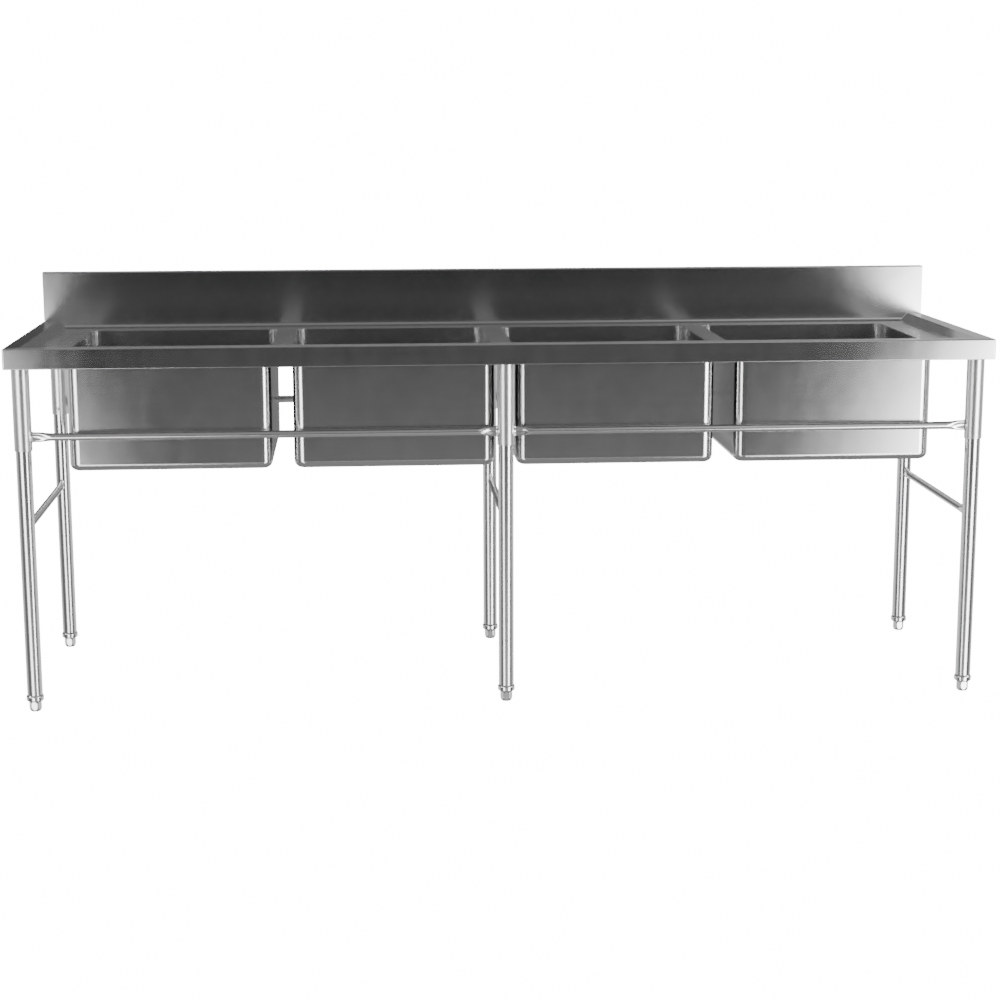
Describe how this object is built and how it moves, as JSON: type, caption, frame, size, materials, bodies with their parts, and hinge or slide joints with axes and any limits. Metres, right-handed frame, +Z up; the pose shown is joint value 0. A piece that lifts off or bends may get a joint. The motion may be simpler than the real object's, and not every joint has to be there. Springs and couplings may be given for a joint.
{
  "type": "commercial sink",
  "caption": "Long free-standing stainless kitchen sink with deep square bowls in a raised-edge top, rear splash and tube legs on adjustable feet.",
  "frame": {"origin": "centre of the bounding box's underside, on the floor", "axes": "+Z up, +X along the length of the sink, +Y from the front apron to the wall side"},
  "size_m": [2.4, 0.7, 1.035],
  "materials": {
    "sheet_steel": "brushed along the length",
    "bowl_steel": "satin",
    "tube_steel": "polished",
    "fitting_steel": "polished",
    "screw_steel": "plain",
    "rubber": "matt",
    "plated_brass": "cast"
  },
  "bodies": {
    "stand_and_top": {"deck_panel": "sheet_steel", "backsplash": "sheet_steel", "bowl_1": "bowl_steel", "bowl_2": "bowl_steel", "bowl_3": "bowl_steel", "bowl_4": "bowl_steel", "drain_body_1": "fitting_steel", "drain_gasket_1": "rubber", "drain_locknut_1": "plated_brass", "drain_body_2": "fitting_steel", "drain_gasket_2": "rubber", "drain_locknut_2": "plated_brass", "drain_body_3": "fitting_steel", "drain_gasket_3": "rubber", "drain_locknut_3": "plated_brass", "drain_body_4": "fitting_steel", "drain_gasket_4": "rubber", "drain_locknut_4": "plated_brass", "support_channel": "sheet_steel", "leg_socket_front_left": "tube_steel", "leg_front_left": "tube_steel", "foot_insert_front_left": "fitting_steel", "socket_screw_front_left": "screw_steel", "leg_socket_rear_left": "tube_steel", "leg_rear_left": "tube_steel", "foot_insert_rear_left": "fitting_steel", "socket_screw_rear_left": "screw_steel", "leg_socket_front_middle": "tube_steel", "leg_front_middle": "tube_steel", "foot_insert_front_middle": "fitting_steel", "socket_screw_front_middle": "screw_steel", "leg_socket_rear_middle": "tube_steel", "leg_rear_middle": "tube_steel", "foot_insert_rear_middle": "fitting_steel", "socket_screw_rear_middle": "screw_steel", "leg_socket_front_right": "tube_steel", "leg_front_right": "tube_steel", "foot_insert_front_right": "fitting_steel", "socket_screw_front_right": "screw_steel", "leg_socket_rear_right": "tube_steel", "leg_rear_right": "tube_steel", "foot_insert_rear_right": "fitting_steel", "socket_screw_rear_right": "screw_steel", "long_rail_front_left": "tube_steel", "long_rail_rear_left": "tube_steel", "long_rail_front_right": "tube_steel", "long_rail_rear_right": "tube_steel", "side_rail_left": "tube_steel", "side_rail_middle": "tube_steel", "side_rail_right": "tube_steel"},
    "foot_front_left": {"bullet_foot_front_left": "fitting_steel"},
    "foot_rear_left": {"bullet_foot_rear_left": "fitting_steel"},
    "foot_front_middle": {"bullet_foot_front_middle": "fitting_steel"},
    "foot_rear_middle": {"bullet_foot_rear_middle": "fitting_steel"},
    "foot_front_right": {"bullet_foot_front_right": "fitting_steel"},
    "foot_rear_right": {"bullet_foot_rear_right": "fitting_steel"},
    "basket_1": {"strainer_basket_1": "fitting_steel"},
    "basket_2": {"strainer_basket_2": "fitting_steel"},
    "basket_3": {"strainer_basket_3": "fitting_steel"},
    "basket_4": {"strainer_basket_4": "fitting_steel"}
  },
  "joints": [
    {"name": "foot_travel_front_left", "type": "slide", "parent": "stand_and_top", "child": "foot_front_left", "axis": [0, 0, -1], "range_m": [0, 0.025]},
    {"name": "foot_travel_rear_left", "type": "slide", "parent": "stand_and_top", "child": "foot_rear_left", "axis": [0, 0, -1], "range_m": [0, 0.025]},
    {"name": "foot_travel_front_middle", "type": "slide", "parent": "stand_and_top", "child": "foot_front_middle", "axis": [0, 0, -1], "range_m": [0, 0.025]},
    {"name": "foot_travel_rear_middle", "type": "slide", "parent": "stand_and_top", "child": "foot_rear_middle", "axis": [0, 0, -1], "range_m": [0, 0.025]},
    {"name": "foot_travel_front_right", "type": "slide", "parent": "stand_and_top", "child": "foot_front_right", "axis": [0, 0, -1], "range_m": [0, 0.025]},
    {"name": "foot_travel_rear_right", "type": "slide", "parent": "stand_and_top", "child": "foot_rear_right", "axis": [0, 0, -1], "range_m": [0, 0.025]},
    {"name": "basket_lift_1", "type": "slide", "parent": "stand_and_top", "child": "basket_1", "axis": [0, 0, 1], "range_m": [0, 0.4]},
    {"name": "basket_lift_2", "type": "slide", "parent": "stand_and_top", "child": "basket_2", "axis": [0, 0, 1], "range_m": [0, 0.4]},
    {"name": "basket_lift_3", "type": "slide", "parent": "stand_and_top", "child": "basket_3", "axis": [0, 0, 1], "range_m": [0, 0.4]},
    {"name": "basket_lift_4", "type": "slide", "parent": "stand_and_top", "child": "basket_4", "axis": [0, 0, 1], "range_m": [0, 0.4]}
  ]
}
